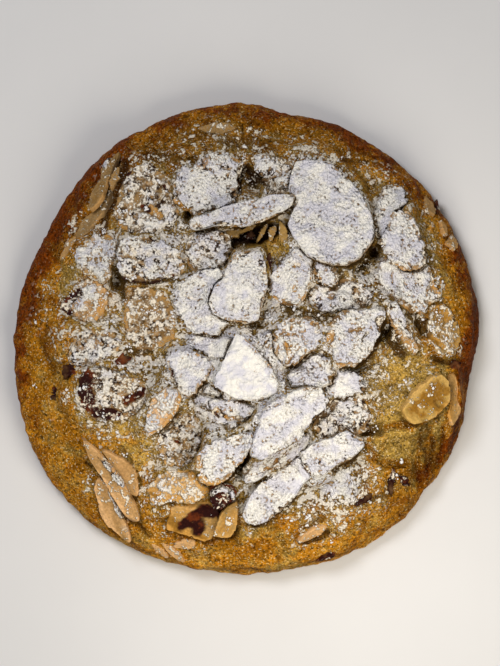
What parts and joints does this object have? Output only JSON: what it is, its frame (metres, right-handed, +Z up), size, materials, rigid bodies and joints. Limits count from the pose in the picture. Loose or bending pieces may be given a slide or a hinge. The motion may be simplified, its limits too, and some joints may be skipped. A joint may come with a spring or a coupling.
{
  "type": "almond cookie",
  "caption": "Thick round golden almond cookie heaped with overlapping flaked almonds under a heavy dusting of icing sugar.",
  "frame": {"origin": "middle of the cookie's outline, on the flat base", "axes": "+Z up through the almonds, +Y away from the viewer's side (the top of the view from above), +X to the right of it"},
  "size_m": [0.0926, 0.0936, 0.0224],
  "materials": {
    "dough": "golden-brown baked dough, grainy, with a browner rim and a light dusting of icing sugar",
    "almond": "cream flaked almond with brown skin at some rims, toasted at its edges, thickly dusted with icing sugar"
  },
  "bodies": {
    "root": {"dough": "dough", "flake_nw_1": "almond", "flake_nw_2": "almond", "flake_w_1": "almond", "flake_w_2": "almond", "flake_w_3": "almond", "flake_w_4": "almond", "flake_sw_1": "almond", "flake_s_1": "almond", "flake_s_2": "almond", "flake_sw_2": "almond", "flake_sw_3": "almond", "flake_sw_4": "almond", "flake_e_1": "almond", "flake_e_2": "almond", "flake_e_3": "almond", "flake_n_1": "almond", "flake_se_1": "almond", "flake_se_2": "almond", "flake_c_1": "almond", "flake_c_2": "almond", "flake_c_3": "almond", "flake_c_4": "almond", "flake_c_5": "almond", "flake_c_6": "almond", "flake_c_7": "almond", "flake_w_5": "almond", "flake_nw_3": "almond", "flake_w_6": "almond", "flake_c_8": "almond", "flake_c_9": "almond", "flake_c_10": "almond", "flake_ne_1": "almond", "flake_e_4": "almond", "flake_c_11": "almond", "flake_c_12": "almond", "flake_sw_5": "almond", "flake_s_3": "almond", "flake_sw_6": "almond", "flake_n_2": "almond", "flake_c_13": "almond", "flake_ne_2": "almond", "flake_e_5": "almond", "flake_e_6": "almond", "flake_s_4": "almond", "flake_s_5": "almond", "flake_ne_3": "almond", "flake_s_6": "almond", "flake_sw_7": "almond", "flake_c_14": "almond", "flake_s_7": "almond", "flake_n_3": "almond"}
  },
  "joints": []
}
